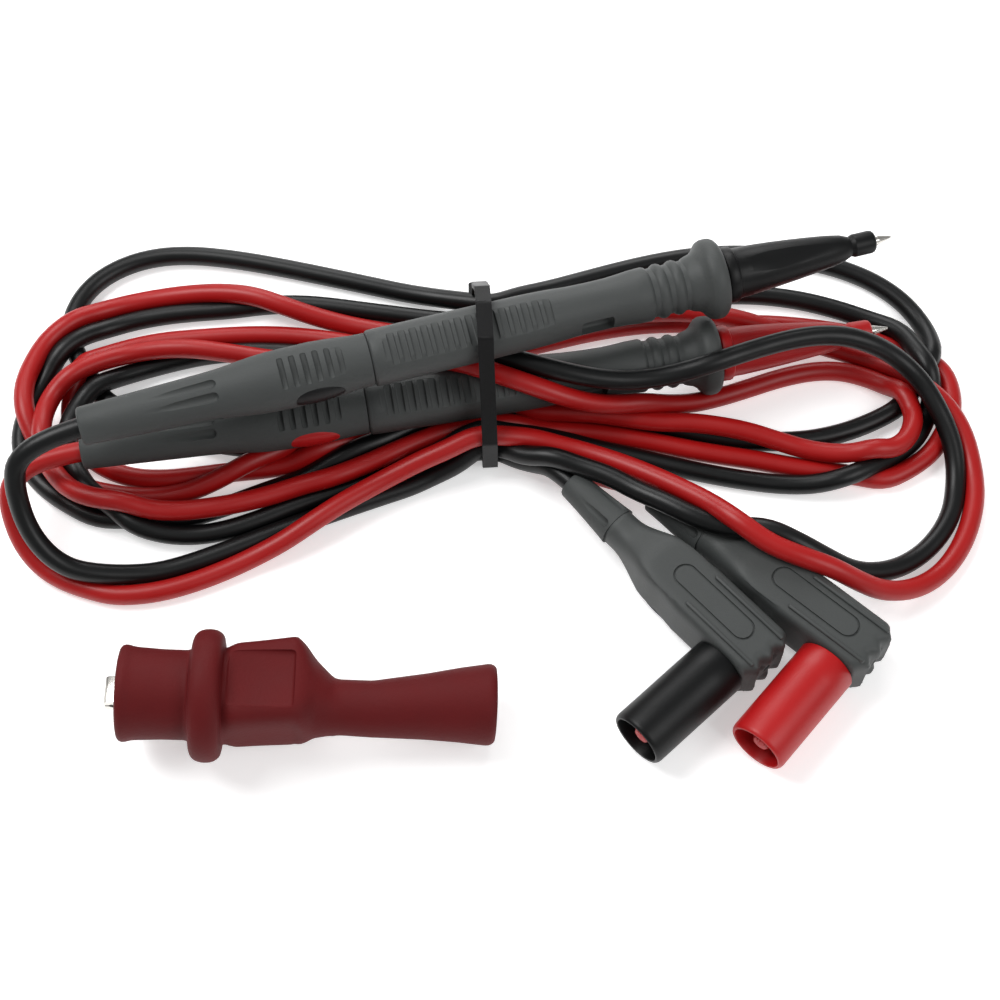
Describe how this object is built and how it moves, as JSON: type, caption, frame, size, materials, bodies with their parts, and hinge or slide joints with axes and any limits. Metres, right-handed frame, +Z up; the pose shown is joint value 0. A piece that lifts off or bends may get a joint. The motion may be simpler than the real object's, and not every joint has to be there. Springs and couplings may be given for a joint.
{
  "type": "multimeter test lead set",
  "caption": "Pair of probe leads folded in a tied hank, each with a right-angle shrouded plug, and a separate insulated clip.",
  "frame": {"origin": "middle of the footprint of the probes, plugs, tie and clip, on the surface they lie on", "axes": "+X along the hank towards the probe tips, +Y across it away from the clip, +Z up"},
  "size_m": [0.1981, 0.1167, 0.0337],
  "materials": {
    "clip_vinyl": "matt",
    "nickel": "satin",
    "spring_steel": "satin",
    "tie_nylon": "satin",
    "grey_rubber": "matt",
    "grey_plastic": "fine satin",
    "brass": "satin",
    "white_plastic": "satin",
    "black_cable": "satin",
    "red_cable": "satin",
    "red_plastic": "semi-gloss",
    "black_plastic": "semi-gloss"
  },
  "bodies": {
    "root": {"black_probe_boot": "grey_rubber", "black_probe_handle": "grey_plastic", "black_handle_core": "black_plastic", "black_needle": "nickel", "black_crimp_ferrule": "brass", "black_grip_inlays": "black_plastic", "black_plug_relief": "grey_rubber", "black_plug_housing": "grey_plastic", "black_plug_shroud": "black_plastic", "black_plug_pin": "nickel", "black_pin_spring": "nickel", "black_pin_nose": "red_plastic", "black_pin_holder": "white_plastic", "black_probe_tail": "black_cable", "black_plug_tail": "black_cable", "black_lead_hank": "black_cable", "red_probe_boot": "grey_rubber", "red_probe_handle": "grey_plastic", "red_handle_core": "red_plastic", "red_needle": "nickel", "red_crimp_ferrule": "brass", "red_grip_inlays": "red_plastic", "red_plug_relief": "grey_rubber", "red_plug_housing": "grey_plastic", "red_plug_shroud": "red_plastic", "red_plug_pin": "nickel", "red_pin_spring": "nickel", "red_pin_nose": "red_plastic", "red_pin_holder": "white_plastic", "red_probe_tail": "red_cable", "red_plug_tail": "red_cable", "red_lead_hank": "red_cable", "cable_tie": "tie_nylon"},
    "black_sleeve": {"black_tip_sleeve": "black_plastic"},
    "red_sleeve": {"red_tip_sleeve": "red_plastic"},
    "clip": {"clip_boot": "clip_vinyl", "clip_socket": "nickel", "clip_lower_jaw": "nickel", "clip_pivot_pin": "nickel", "clip_spring": "spring_steel"},
    "clip_jaw": {"clip_upper_jaw": "nickel"}
  },
  "joints": [
    {"name": "black_sleeve_pull", "type": "slide", "parent": "root", "child": "black_sleeve", "axis": [0.9616, 0.2739, -0.014], "range_m": [0, 0.034]},
    {"name": "red_sleeve_pull", "type": "slide", "parent": "root", "child": "red_sleeve", "axis": [0.9828, 0.1839, -0.0175], "range_m": [0, 0.034]},
    {"name": "clip_lift", "type": "slide", "parent": "root", "child": "clip", "axis": [0, 0, 1], "range_m": [0, 0.03]},
    {"name": "clip_jaw_hinge", "type": "hinge", "parent": "clip", "child": "clip_jaw", "pos_m": [-0.04626, -0.04135, 0.01196], "axis": [0, 1, 0], "range_deg": [0, 8], "stiffness_Nm_per_rad": 0.05}
  ]
}
